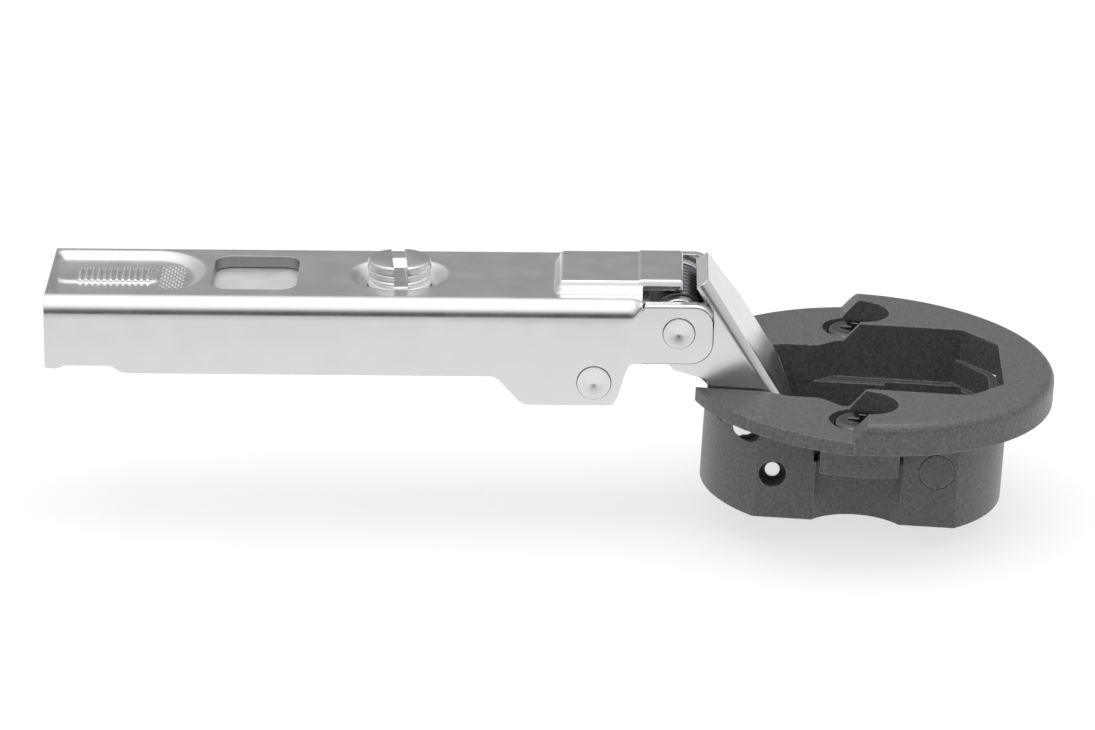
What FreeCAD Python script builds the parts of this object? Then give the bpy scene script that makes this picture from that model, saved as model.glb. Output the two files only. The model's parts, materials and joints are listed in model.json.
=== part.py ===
import FreeCAD, Part
import math
import os
import Sketcher

# Concealed cup hinge, fully open. Millimetres.
# X runs along the arm towards the cup, Y across it, Z up.
# The origin is on the side-adjusting screw's axis, on the plane of the arm's bottom edges.

doc = FreeCAD.newDocument("cup_hinge")
sheet = doc.addObject("Spreadsheet::Sheet", "Sizes")

# Driving sizes
PLAIN = {
    "armWidth": 14.5,
    "armSheet": 1.0,
    "armTop": 6.64,
    "armRear": -30.0,
    "armBend": 1.4,
    "earEnd": 26.94,
    "earTop": 6.5,
    "earFoot": 1.22,
    "notchRise": 0.66,
    "bulgeFoot": -2.54,
    "bulgeStart": 8.4,
    "bulgeRear": 10.7,
    "bulgeFront": 18.57,
    "bulgeEnd": 19.68,
    "panelStart": 13.3,
    "webEnd": 24.35,
    "notchStart": 20.9,
    "panelRise": 0.9,
    "stepRise": 0.1,
    "panelHalf": 4.15,
    "scoopHalf": 5.5,
    "scoopDepth": 0.5,
    "windowHalf": 4.35,
    "windowLeft": -16.0,
    "windowRight": -8.7,
    "frontPivotX": 24.0,
    "frontPivotZ": 4.0,
    "rearPivotX": 16.8,
    "rearPivotZ": -0.5,
    "frontRivet": 1.4,
    "rearRivet": 1.5,
    "rivetProud": 0.15,
    "snug": 0.02,
    "running": 0.05,
    "adjusterRadius": 2.75,
    "adjusterProud": 1.4,
    "dimpleRadius": 3.75,
    "dimpleDepth": 1.1,
    "collarDepth": 2.4,
    "linkHalf": 5.55,
    "linkSheet": 1.15,
    "linkBack": 4.24,
    "linkBend": 1.0,
    "linkEye": 2.75,
    "deepEye": 2.5,
    "coilRadius": 2.1,
    "coilWire": 0.8,
    "coilHalf": 3.9,
    "innerHalf": 4.15,
    "innerHook": 2.6,
    "innerSlot": 2.0,
    "innerFar": 2.15,
    "cupX": 39.5,
    "cupZ": -0.45,
    "cupTilt": 3.2,
    "flangeRadius": 17.0,
    "flangeDepth": 2.85,
    "flangeRound": 0.9,
    "flangeDrop": 1.66,
    "bossRadius": 13.05,
    "bossHalf": 9.8,
    "bossDepth": 11.6,
    "floorDepth": 10.8,
    "ledgeDepth": 5.0,
    "mouthHalf": 8.3,
    "mouthEnd": 12.35,
    "slotHalf": 5.85,
    "slotDepth": 4.6,
    "deepPinU": -7.02,
    "deepPinW": -7.64,
    "shallowPinU": -9.47,
    "shallowPinW": -4.0,
    "cupPin": 1.15,
    "cupPinHalf": 8.65,
    "seatV": 11.6,
    "seatU": 0.2,
    "seatRadius": 2.9,
    "seatDepth": 2.45,
    "blockFoot": 6.3,
    "clampHead": 2.6,
    "clampShank": 1.1,
    "pocketRear": 2.9,
    "pocketFront": 9.6,
    "pocketHalf": 7.6,
    "pocketDepth": 8.1,
    "catchPlay": 0.3,
    "catchSheet": 0.9,
    "catchRear": -29.3,
    "catchStep": -16.9,
    "catchFront": -5.6,
    "catchFoot": 1.1,
    "catchTabTop": 3.3,
    "catchTabHalf": 3.6,
    "catchSlotRear": -26.6,
    "catchSlotFront": -23.0,
    "catchSlotHalf": 1.75,
}

# Sizes worked out from the ones above
WORKED = {
    "armHalf": "armWidth / 2",
    "wallIn": "armWidth / 2 - armSheet",
    "armUnder": "armTop - armSheet",
    "deepPinX": "cupX + cos(cupTilt) * deepPinU + sin(cupTilt) * deepPinW",
    "deepPinZ": "cupZ - sin(cupTilt) * deepPinU + cos(cupTilt) * deepPinW",
    "shallowPinX": "cupX + cos(cupTilt) * shallowPinU + sin(cupTilt) * shallowPinW",
    "shallowPinZ": "cupZ - sin(cupTilt) * shallowPinU + cos(cupTilt) * shallowPinW",
    "linkTurn": "58.33",
    "linkDX": "deepPinX - frontPivotX",
    "linkDZ": "deepPinZ - frontPivotZ",
    "deepAlong": "cos(linkTurn) * linkDX - sin(linkTurn) * linkDZ",
    "deepUp": "sin(linkTurn) * linkDX + cos(linkTurn) * linkDZ",
    "linkSX": "shallowPinX - frontPivotX",
    "linkSZ": "shallowPinZ - frontPivotZ",
    "shallowAlong": "cos(linkTurn) * linkSX - sin(linkTurn) * linkSZ",
    "shallowUp": "sin(linkTurn) * linkSX + cos(linkTurn) * linkSZ",
    "pinDU": "shallowPinU - deepPinU",
    "pinDW": "shallowPinW - deepPinW",
    "pinSpan": "sqrt(pinDU * pinDU + pinDW * pinDW)",
    "innerDX": "shallowPinX - rearPivotX",
    "innerDZ": "shallowPinZ - rearPivotZ",
    "catchTop": "armTop - armSheet - 0.08",
    "catchHalf": "armWidth / 2 - armSheet - catchPlay",
    "scoopRadius": "(scoopHalf * scoopHalf + scoopDepth * scoopDepth) / (2 * scoopDepth)",
}

row = 1
for name, number in PLAIN.items():
    sheet.set("A%d" % row, name)
    sheet.set("B%d" % row, "%g" % number)
    sheet.setAlias("B%d" % row, name)
    row += 1
for name, formula in WORKED.items():
    sheet.set("A%d" % row, name)
    sheet.set("B%d" % row, "=" + formula)
    sheet.setAlias("B%d" % row, name)
    row += 1
doc.recompute()


class Size:
    """A number together with the spreadsheet expression that drives it."""

    def __init__(self, value, text):
        self.value = float(value)
        self.text = text

    def __add__(self, other):
        return Size(self.value + number_of(other), "(%s + %s)" % (self.text, text_of(other)))

    def __sub__(self, other):
        return Size(self.value - number_of(other), "(%s - %s)" % (self.text, text_of(other)))

    def __mul__(self, other):
        return Size(self.value * number_of(other), "(%s * %s)" % (self.text, text_of(other)))

    def __neg__(self):
        return Size(-self.value, "(-1 * %s)" % self.text)

    def __rsub__(self, other):
        return Size(number_of(other) - self.value, "(%s - %s)" % (text_of(other), self.text))

    __radd__ = __add__
    __rmul__ = __mul__


def number_of(x):
    return x.value if isinstance(x, Size) else float(x)


def text_of(x):
    return x.text if isinstance(x, Size) else "%g" % x


def size(name):
    held = sheet.get(name)
    return Size(getattr(held, "Value", held), "Sizes." + name)


def drive(obj, path, x):
    """Set a property path from a Size or leave a plain number in place."""
    if isinstance(x, Size):
        obj.setExpression(path, x.text)


def place(obj, x=0.0, y=0.0, z=0.0, axis=(0, 1, 0), turn=0.0):
    rotation = FreeCAD.Rotation(FreeCAD.Vector(*axis), number_of(turn))
    base = FreeCAD.Vector(number_of(x), number_of(y), number_of(z))
    obj.Placement = FreeCAD.Placement(base, rotation)
    drive(obj, "Placement.Base.x", x)
    drive(obj, "Placement.Base.y", y)
    drive(obj, "Placement.Base.z", z)
    drive(obj, "Placement.Rotation.Angle", turn)
    return obj


def box(name, x, y, z):
    """A block from three pairs of ends."""
    x, y, z = (sorted(pair, key=number_of) for pair in (x, y, z))
    obj = doc.addObject("Part::Box", name)
    for path, pair in (("Length", x), ("Width", y), ("Height", z)):
        span = pair[1] - pair[0]
        setattr(obj, path, number_of(span))
        drive(obj, path, span)
    return place(obj, x[0], y[0], z[0])


def rod(name, radius, start, end, at=(0.0, 0.0), axis="y"):
    """A cylinder along x, y or z from start to end; at holds its other two coordinates."""
    obj = doc.addObject("Part::Cylinder", name)
    start, end = sorted((start, end), key=number_of)
    span = end - start
    obj.Radius = number_of(radius)
    obj.Height = number_of(span)
    drive(obj, "Radius", radius)
    drive(obj, "Height", span)
    if axis == "z":
        return place(obj, at[0], at[1], start)
    if axis == "x":
        return place(obj, start, at[0], at[1], (0, 1, 0), 90.0)
    return place(obj, at[0], start, at[1], (1, 0, 0), -90.0)


def cone(name, low, high, start, end, at=(0.0, 0.0), axis="z"):
    obj = doc.addObject("Part::Cone", name)
    span = end - start
    for path, x in (("Radius1", low), ("Radius2", high), ("Height", span)):
        setattr(obj, path, number_of(x))
        drive(obj, path, x)
    if axis == "z":
        return place(obj, at[0], at[1], start)
    if axis == "x":
        return place(obj, start, at[0], at[1], (0, 1, 0), 90.0)
    return place(obj, at[0], start, at[1], (1, 0, 0), -90.0)


def fuse(name, *parts):
    obj = doc.addObject("Part::MultiFuse", name)
    obj.Shapes = list(parts)
    obj.Refine = True
    return obj


def cut(name, base, *tools):
    obj = doc.addObject("Part::Cut", name)
    obj.Base = base
    obj.Tool = tools[0] if len(tools) == 1 else fuse(name + "_tools", *tools)
    obj.Refine = True
    return obj


def common(name, *parts):
    obj = doc.addObject("Part::MultiCommon", name)
    obj.Shapes = list(parts)
    return obj


def outline(name, corners, upright=True):
    """A closed sketch from (x, y, radius) corners, each held by sheet-driven sizes.
    Upright sketches lie in the XZ plane, the others in the XY plane."""
    sk = doc.addObject("Sketcher::SketchObject", name)
    turn = FreeCAD.Rotation(FreeCAD.Vector(1, 0, 0), 90.0 if upright else 0.0)
    sk.Placement = FreeCAD.Placement(FreeCAD.Vector(), turn)
    points = [FreeCAD.Vector(number_of(c[0]), number_of(c[1]), 0) for c in corners]
    radii = [c[2] if len(c) > 2 else 0.0 for c in corners]
    count = len(points)
    starts, ends, arcs = [], [], {}
    for i, p in enumerate(points):
        r = number_of(radii[i])
        back = (points[i - 1] - p).normalize()
        ahead = (points[(i + 1) % count] - p).normalize()
        if r == 0.0:
            starts.append(p)
            ends.append(p)
            continue
        half = back.getAngle(ahead) / 2.0
        trim = r / math.tan(half)
        centre = p + (back + ahead).normalize() * (r / math.sin(half))
        starts.append(p + back * trim)
        ends.append(p + ahead * trim)
        a = math.atan2(starts[i].y - centre.y, starts[i].x - centre.x)
        b = math.atan2(ends[i].y - centre.y, ends[i].x - centre.x)
        leftward = back.cross(ahead).z < 0
        arcs[i] = (centre, a, b, leftward)
    lines = []
    for i in range(count):
        segment = Part.LineSegment(ends[i], starts[(i + 1) % count])
        lines.append(sk.addGeometry(segment, False))
    for i in range(count):
        before, after = lines[i - 1], lines[i]
        if i in arcs:
            centre, a, b, leftward = arcs[i]
            circle = Part.Circle(centre, FreeCAD.Vector(0, 0, 1), number_of(radii[i]))
            if leftward:
                arc = sk.addGeometry(Part.ArcOfCircle(circle, a, b), False)
                first, last = 1, 2
            else:
                arc = sk.addGeometry(Part.ArcOfCircle(circle, b, a), False)
                first, last = 2, 1
            sk.addConstraint(Sketcher.Constraint("Tangent", before, 2, arc, first))
            sk.addConstraint(Sketcher.Constraint("Tangent", arc, last, after, 1))
            held = sk.addConstraint(Sketcher.Constraint("Radius", arc, number_of(radii[i])))
            drive(sk, "Constraints[%d]" % held, radii[i])
            dot = sk.addGeometry(Part.Point(points[i]), True)
            sk.addConstraint(Sketcher.Constraint("PointOnObject", dot, 1, before))
            sk.addConstraint(Sketcher.Constraint("PointOnObject", dot, 1, after))
            owner, end = dot, 1
        else:
            sk.addConstraint(Sketcher.Constraint("Coincident", before, 2, after, 1))
            owner, end = after, 1
        for kind, x in (("DistanceX", corners[i][0]), ("DistanceY", corners[i][1])):
            rule = Sketcher.Constraint(kind, -1, 1, owner, end, number_of(x))
            held = sk.addConstraint(rule)
            drive(sk, "Constraints[%d]" % held, x)
    return sk


def extrude(name, corners, half=None, low=None, high=None):
    """Solid from corners: upright and centred on Y when half is given, else flat from low to high."""
    obj = doc.addObject("Part::Extrusion", name)
    obj.Base = outline(name + "_outline", corners, upright=half is not None)
    obj.DirMode = "Custom"
    obj.Solid = True
    if half is not None:
        obj.Dir = FreeCAD.Vector(0, 1, 0)
        obj.Symmetric = True
        span = half * 2
    else:
        obj.Dir = FreeCAD.Vector(0, 0, 1)
        span = high - low
        place(obj.Base, 0.0, 0.0, low)
    obj.LengthFwd = number_of(span)
    drive(obj, "LengthFwd", span)
    return obj


def revolve(name, corners):
    obj = doc.addObject("Part::Revolution", name)
    obj.Source = outline(name + "_outline", corners)
    obj.Axis = FreeCAD.Vector(0, 0, 1)
    obj.Base = FreeCAD.Vector(0, 0, 0)
    obj.Angle = 360.0
    obj.Solid = True
    return obj


nodes = []


def node(obj, label):
    obj.Label = label
    nodes.append(obj)
    return obj


def mirrored_y(name, source):
    obj = doc.addObject("Part::Mirroring", name)
    obj.Source = source
    obj.Base = FreeCAD.Vector(0, 0, 0)
    obj.Normal = FreeCAD.Vector(0, 1, 0)
    return obj


armHalf, wallIn = size("armHalf"), size("wallIn")
armTop, armUnder, armSheet = size("armTop"), size("armUnder"), size("armSheet")
armRear, earEnd, earTop, earFoot = size("armRear"), size("earEnd"), size("earTop"), size("earFoot")
notchRise, bulgeFoot = size("notchRise"), size("bulgeFoot")
webEnd, notchStart, panelHalf = size("webEnd"), size("notchStart"), size("panelHalf")
panelTop = armTop + size("panelRise")
tongueTop = panelTop + size("stepRise")
frontX, frontZ = size("frontPivotX"), size("frontPivotZ")
rearX, rearZ = size("rearPivotX"), size("rearPivotZ")
snug, running = size("snug"), size("running")

# Arm: a folded channel, open below, with its scoop, window, dimple and raised panel
arm_blank = extrude("arm_blank", [
    (armRear, armTop), (armRear, notchRise - 0.31, 0.5), (armRear + 1.2, notchRise - 0.31, 0.3),
    (armRear + 1.5, notchRise, 0.3), (armRear + 5.6, notchRise, 0.8), (armRear + 6.65, 0.0, 0.8),
    (size("bulgeStart"), 0.0, 1.5), (size("bulgeRear"), bulgeFoot, 1.2),
    (size("bulgeFront"), bulgeFoot, 1.4), (size("bulgeEnd"), earFoot, 0.8), (earEnd, earFoot, 2.0),
    (earEnd, earTop, 1.6), (notchStart + 0.5, earTop), (notchStart + 0.5, armTop)], half=armHalf)

inside = box("inside", (armRear - 1.0, earEnd + 1.0), (-wallIn, wallIn), (bulgeFoot - 1.0, armUnder))
nose = box("nose", (notchStart, earEnd + 1.0), (-wallIn, wallIn), (armUnder - 1.0, armTop + 0.5))

bend = size("armBend")
bend_block = box("bend_block", (armRear - 1.0, notchStart), (armHalf - bend, armHalf + 0.5),
                 (armTop - bend, armTop + 0.5))
bend_rod = rod("bend_rod", bend, armRear - 2.0, earEnd, (armHalf - bend, armTop - bend), "x")
bend_tool = cut("bend_tool", bend_block, bend_rod)
bend_twin = mirrored_y("bend_twin", bend_tool)

panelLow = armTop - 0.2


def wedge(name, x, half, z, slope, front_slope=0.0):
    """A raised block whose rear and side walls lean in by slope."""
    obj = doc.addObject("Part::Wedge", name)
    values = {
        "Xmin": x[0], "Xmax": x[1], "X2min": x[0] + slope, "X2max": x[1] - front_slope,
        "Ymin": z[0], "Ymax": z[1],
        "Zmin": -half, "Zmax": half, "Z2min": -half + slope, "Z2max": half - slope,
    }
    for path in ("Xmin", "Xmax", "Ymin", "Ymax", "Zmin", "Zmax", "X2min", "X2max", "Z2min", "Z2max"):
        setattr(obj, path, number_of(values[path]))
        drive(obj, path, values[path])
    return place(obj, 0.0, 0.0, 0.0, (1, 0, 0), 90.0)


panelStart = size("panelStart")
panel = wedge("panel", (panelStart, notchStart + 0.2), panelHalf + 0.35, (panelLow, panelTop), 0.7)
panel_inside = wedge("panel_inside", (panelStart + armSheet, earEnd), panelHalf - 0.65,
                     (armUnder - 0.5, panelTop - armSheet), 0.7)
tongue = box("tongue", (notchStart - 0.5, webEnd), (-panelHalf, panelHalf),
             (tongueTop - armSheet, tongueTop))
tongue_root = box("tongue_root", (notchStart - 0.5, notchStart + 0.2), (-panelHalf, panelHalf),
                  (armUnder, tongueTop))

scoopR, scoopDepth = size("scoopRadius"), size("scoopDepth")
scoopZ = armTop - scoopDepth + scoopR
flare, tip = -21.5, -16.8
scoop_trunk = rod("scoop_trunk", scoopR, armRear - 1.0, flare, (0.0, scoopZ), "x")
scoop_nose = cone("scoop_nose", scoopR, scoopR - scoopDepth, flare, tip, (0.0, scoopZ), "x")
scoop = fuse("scoop", scoop_trunk, scoop_nose)
pan_trunk = rod("pan_trunk", scoopR + armSheet, armRear, flare, (0.0, scoopZ), "x")
pan_nose = cone("pan_nose", scoopR + armSheet, scoopR - scoopDepth + armSheet, flare, tip,
                (0.0, scoopZ), "x")
pan_limit = box("pan_limit", (armRear, tip - 1.7), (-wallIn - 0.2, wallIn + 0.2),
                (armTop - scoopDepth - armSheet - 0.1, armTop - 0.3))
pan = common("pan", fuse("pan_both", pan_trunk, pan_nose), pan_limit)

rib_rods = []
for i in range(12):
    x = -27.4 + 0.53 * i
    rib_rods.append(rod("rib_%d" % i, 0.26, -1.75, 1.75, (x, armTop - scoopDepth - 0.02)))

catchSlotEnd, catchFoot, catchSheet = size("catchSlotFront"), size("catchFoot"), size("catchSheet")
catch_stop = box("catch_stop", (catchSlotEnd - 1.0, catchSlotEnd - 0.1), (-1.6, 1.6),
                 (catchFoot + catchSheet + 0.15, armUnder - 0.2))
lug = box("lug", (armRear + 3.0, armRear + 4.8), (wallIn - 0.7, wallIn + 0.2),
          (notchRise, notchRise + 0.34))
lug_twin = mirrored_y("lug_twin", lug)

windowLeft, windowRight, windowHalf = size("windowLeft"), size("windowRight"), size("windowHalf")
window = extrude("window", [
    (windowLeft, -windowHalf, 1.3), (windowRight, -windowHalf, 1.3),
    (windowRight, windowHalf, 1.8), (windowLeft, windowHalf, 1.8)], low=armUnder - 0.5, high=armTop + 0.5)

dimpleR, dimpleDepth = size("dimpleRadius"), size("dimpleDepth")
adjusterR, adjusterProud = size("adjusterRadius"), size("adjusterProud")
dimple = cone("dimple", dimpleR - 0.35, dimpleR, armTop - dimpleDepth, armTop + 0.001)
dish = rod("dish", dimpleR + 0.6, armTop - dimpleDepth - 0.9, armTop - 0.3, (0.0, 0.0), "z")
collar = rod("collar", adjusterR + 0.8, armTop - dimpleDepth - size("collarDepth"),
             armTop - dimpleDepth - 0.5, (0.0, 0.0), "z")
adjuster_hole = rod("adjuster_hole", adjusterR + running, 0.0, armTop + armSheet, (0.0, 0.0), "z")

across = armHalf + armSheet
front_hole = rod("front_hole", size("frontRivet") + snug, -across, across, (frontX, frontZ))
rear_hole = rod("rear_hole", size("rearRivet") + snug, -across, across, (rearX, rearZ))

channel = cut("channel", arm_blank, inside, nose, bend_tool, bend_twin)
formed = fuse("formed", channel, panel, tongue, tongue_root, pan, dish, collar, catch_stop, lug, lug_twin)
pressed = cut("pressed", formed, panel_inside, scoop, window, dimple, adjuster_hole, front_hole, rear_hole)
node(fuse("ribbed", pressed, *rib_rods), "arm_channel")


def rivet(label, radius, x, z):
    """A shank through both walls with a small rounded rim and a centre dimple at each end."""
    reach = armHalf + size("rivetProud")
    shank = rod(label + "_shank", radius, -reach + 0.12, reach - 0.12, (x, z))
    rim_front = cone(label + "_rim_front", radius - 0.12, radius, -reach, -reach + 0.12, (x, z), "y")
    rim_back = cone(label + "_rim_back", radius, radius - 0.12, reach - 0.12, reach, (x, z), "y")
    pit_front = cone(label + "_pit_front", 0.35, 0.1, -reach - 0.01, -reach + 0.25, (x, z), "y")
    pit_back = cone(label + "_pit_back", 0.1, 0.35, reach - 0.25, reach + 0.01, (x, z), "y")
    body = fuse(label + "_body", shank, rim_front, rim_back)
    return node(cut(label + "_cut", body, pit_front, pit_back), label)


rivet("front_pivot_rivet", size("frontRivet"), frontX, frontZ)
rivet("rear_pivot_rivet", size("rearRivet"), rearX, rearZ)

# Side-adjusting screw: threaded body, slot, neck and the spool that a mounting plate holds
screw_top = armTop + adjusterProud
screw_body = rod("screw_body", adjusterR, 2.7, screw_top - 0.25, (0.0, 0.0), "z")
screw_rim = cone("screw_rim", adjusterR, adjusterR - 0.25, screw_top - 0.25, screw_top)
screw_neck = rod("screw_neck", 1.5, 1.4, 2.7, (0.0, 0.0), "z")
screw_spool = rod("screw_spool", 2.5, 0.35, 1.4, (0.0, 0.0), "z")
screw_whole = fuse("screw_whole", screw_body, screw_rim, screw_neck, screw_spool)
screw_slot = box("screw_slot", (-0.575, 0.575), (-3.5, 3.5), (screw_top - 1.7, screw_top + 0.5))
side_adjust_screw = cut("screw_cut", screw_whole, screw_slot)
node(place(side_adjust_screw, axis=(0, 0, 1), turn=5.0), "side_adjust_screw")

# Clip catch: a stepped sheet that slides under the arm's top, and its return spring
catchTop, catchHalf = size("catchTop"), size("catchHalf")
catchRear, catchStep, catchFront = size("catchRear"), size("catchStep"), size("catchFront")
catchSlotHalf, catchTabHalf = size("catchSlotHalf"), size("catchTabHalf")
wide = (-catchHalf, catchHalf)
catch_upper = box("catch_upper", (catchStep, catchFront), wide, (catchTop - catchSheet, catchTop))
catch_riser = box("catch_riser", (catchStep, catchStep + catchSheet), wide, (catchFoot, catchTop))
catch_lower = box("catch_lower", (catchRear, catchStep + catchSheet), wide,
                  (catchFoot, catchFoot + catchSheet))
catch_tab = box("catch_tab", (catchRear, catchRear + catchSheet), (-catchTabHalf, catchTabHalf),
                (catchFoot, size("catchTabTop")))
catch_slot = box("catch_slot", (size("catchSlotRear"), catchSlotEnd), (-catchSlotHalf, catchSlotHalf),
                 (catchFoot - 0.5, catchFoot + catchSheet + 0.5))
catch_whole = fuse("catch_whole", catch_upper, catch_riser, catch_lower, catch_tab)
node(cut("catch_cut", catch_whole, catch_slot), "clip_catch")


def coil(label, mean, wire, pitch, height):
    """A round-wire helix along local Z, starting on local X."""
    path = doc.addObject("Part::Helix", label + "_path")
    path.Pitch = pitch
    path.Height = number_of(height)
    path.Radius = number_of(mean)
    drive(path, "Height", height)
    drive(path, "Radius", mean)
    ring = doc.addObject("Part::Circle", label + "_ring")
    ring.Radius = number_of(wire) / 2.0
    drive(ring, "Radius", wire * 0.5)
    ring.Placement = FreeCAD.Placement(FreeCAD.Vector(number_of(mean), 0, 0),
                                       FreeCAD.Rotation(FreeCAD.Vector(1, 0, 0), 90.0))
    drive(ring, "Placement.Base.x", mean)
    sweep = doc.addObject("Part::Sweep", label + "_sweep")
    sweep.Sections = [ring]
    sweep.Spine = (path, ["Edge1"])
    sweep.Solid = True
    sweep.Frenet = True
    return sweep


catch_spring = coil("catch_spring", 0.72, 0.34, 0.62, 5.6)
place(catch_spring, -22.83, 0.0, 3.05, (0, 1, 0), 90.0)
node(catch_spring, "catch_spring")

# Closing spring: a torsion coil on a sleeve round the front rivet
coilR, coilWire, coilHalf = size("coilRadius"), size("coilWire"), size("coilHalf")
closing = coil("closing_spring", coilR, coilWire, 0.86, coilHalf * 2)
place(closing, frontX, -coilHalf, frontZ, (1, 0, 0), -90.0)
node(closing, "closing_spring")
sleeve_tube = rod("sleeve_tube", coilR - coilWire * 0.5 - 0.06, -coilHalf - 0.4, coilHalf + 0.4,
                  (frontX, frontZ))
sleeve_hole = rod("sleeve_hole", size("frontRivet") + 0.03, -coilHalf - 1.0, coilHalf + 1.0,
                  (frontX, frontZ))
node(cut("sleeve", sleeve_tube, sleeve_hole), "spring_sleeve")

# Outer link: a folded channel round the crossing, drawn about the front pivot with its back along X
linkHalf, linkSheet, linkBack = size("linkHalf"), size("linkSheet"), size("linkBack")
deepX, deepZ = size("deepAlong"), size("deepUp")
linkEye, deepEye, linkBend = size("linkEye"), size("deepEye"), size("linkBend")
backEnd = deepX - 4.4
link_plate = extrude("link_plate", [
    (-2.2, linkBack), (backEnd, linkBack), (deepX + 0.4, deepZ + deepEye - 0.08, 1.2),
    (deepX + 0.6, deepZ - 2.2, 1.5), (11.2, -0.6, 1.0), (8.8, -0.9), (7.6, -1.75, 0.5),
    (5.35, -0.4, 0.4), (3.1, -2.4, 0.5),
    (0.5, -linkEye, 1.0), (-0.6, -1.0), (-0.6, linkBack - linkSheet), (-2.2, linkBack - linkSheet)],
    half=linkHalf)
deep_eye = rod("deep_eye", deepEye, -linkHalf, linkHalf, (deepX, deepZ))
front_eye = rod("front_eye", linkEye, -linkHalf, linkHalf, (0.0, 0.0))
link_solid = fuse("link_solid", link_plate, deep_eye, front_eye)
link_gap = extrude("link_gap", [
    (-4.0, linkBack - linkSheet), (backEnd, linkBack - linkSheet), (backEnd, linkBack + 1.0),
    (deepX + 6.0, linkBack + 1.0), (deepX + 6.0, -8.0), (-4.0, -8.0)], half=linkHalf - linkSheet)
link_block = box("link_block", (-5.0, backEnd + 0.3), (linkHalf - linkBend, linkHalf + 0.5),
                 (linkBack - linkBend, linkBack + 0.5))
link_round = rod("link_round", linkBend, -6.0, backEnd + 1.0,
                 (linkHalf - linkBend, linkBack - linkBend), "x")
link_edge = cut("link_edge", link_block, link_round)
link_edge_twin = mirrored_y("link_edge_twin", link_edge)
link_corner = extrude("link_corner", [
    (-6.0, 0.55), (6.0, 5.77), (6.0, 8.0), (-6.0, 8.0)], low=linkEye + 0.03, high=linkBack + 1.0)
link_front_hole = rod("link_front_hole", size("frontRivet") + running, -8.0, 8.0, (0.0, 0.0))
link_deep_hole = rod("link_deep_hole", size("cupPin") + running, -8.0, 8.0, (deepX, deepZ))

# The ears leave room for the shallow cup pin on its way round the deep one
cupPin, pinSpan = size("cupPin"), size("pinSpan")
pinRoom = cupPin + 0.12
path_outer = rod("path_outer", pinSpan + pinRoom, -8.0, 8.0, (deepX, deepZ))
path_inner = rod("path_inner", pinSpan - pinRoom, -9.0, 9.0, (deepX, deepZ))
path_sector = extrude("path_sector", [
    (deepX, deepZ), (deepX - 9.0, deepZ + 0.15), (deepX - 9.0, deepZ - 9.0),
    (deepX + 3.8, deepZ - 9.0)], half=Size(10.0, "10"))
pin_path = common("pin_path", cut("path_ring", path_outer, path_inner), path_sector)
pin_start = rod("pin_start", pinRoom + 0.05, -8.0, 8.0, (size("shallowAlong"), size("shallowUp")))
outer = cut("outer", link_solid, link_gap, link_edge, link_edge_twin, link_corner, link_front_hole,
            link_deep_hole, pin_path, pin_start)
place(outer, frontX, 0.0, frontZ, (0, 1, 0), size("linkTurn"))
node(outer, "outer_link")

# Inner link, drawn about the rear pivot: a long rear hook, an arch under the coil and a round far eye
innerHalf, innerFar = size("innerHalf"), size("innerFar")
innerHook, innerSlot = size("innerHook"), size("innerSlot")
farX, farZ = size("innerDX"), size("innerDZ")
hook_round = rod("hook_round", innerHook, -innerHalf, innerHalf, (0.43, -0.01))
inner_far_eye = rod("inner_far_eye", innerFar, -innerHalf, innerHalf, (farX, farZ))
inner_arch = extrude("inner_arch", [
    (0.0, 0.4), (0.3, 2.55), (2.6, 2.7, 1.5), (4.4, 1.8, 1.2), (8.2, 1.8, 1.5),
    (farX + 1.1, farZ + 1.78), (farX, farZ), (farX - 2.1, farZ - 0.45), (farX - 2.4, farZ + 1.2, 3.0),
    (7.6, 0.95, 1.5), (3.0, 0.95)], half=innerHalf)
hook_start = rod("hook_start", innerSlot, -8.0, 8.0, (0.43, -0.01))
hook_end = rod("hook_end", innerSlot, -8.0, 8.0, (1.78, 0.1))
hook_middle = extrude("hook_middle", [
    (0.43, innerSlot - 0.01), (0.43, -innerSlot - 0.01), (1.78, 0.1 - innerSlot), (1.78, innerSlot + 0.1)],
    half=Size(8.0, "8"))
hook_mouth = box("hook_mouth", (1.5, 6.5), (-8.0, 8.0), (-4.0, 0.95))
inner_far_hole = rod("inner_far_hole", cupPin + running, -8.0, 8.0, (farX, farZ))
inner_solid = fuse("inner_solid", hook_round, inner_far_eye, inner_arch)
inner = cut("inner", inner_solid, hook_start, hook_end, hook_middle, hook_mouth, inner_far_hole)
place(inner, rearX, 0.0, rearZ)
node(inner, "inner_link")

# Cup boss, drawn about the centre of its raised rim and then tilted
cupX, cupZ, cupTilt = size("cupX"), size("cupZ"), size("cupTilt")
flangeR, flangeDepth = size("flangeRadius"), size("flangeDepth")
flangeRound, drop = size("flangeRound"), size("flangeDrop")
bossR, bossHalf, bossDepth = size("bossRadius"), size("bossHalf"), size("bossDepth")
floorDepth, ledgeDepth = size("floorDepth"), size("ledgeDepth")
mouthHalf, mouthEnd = size("mouthHalf"), size("mouthEnd")
slotHalf, slotDepth = size("slotHalf"), size("slotDepth")
seatU, seatV, seatR = size("seatU"), size("seatV"), size("seatRadius")

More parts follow.
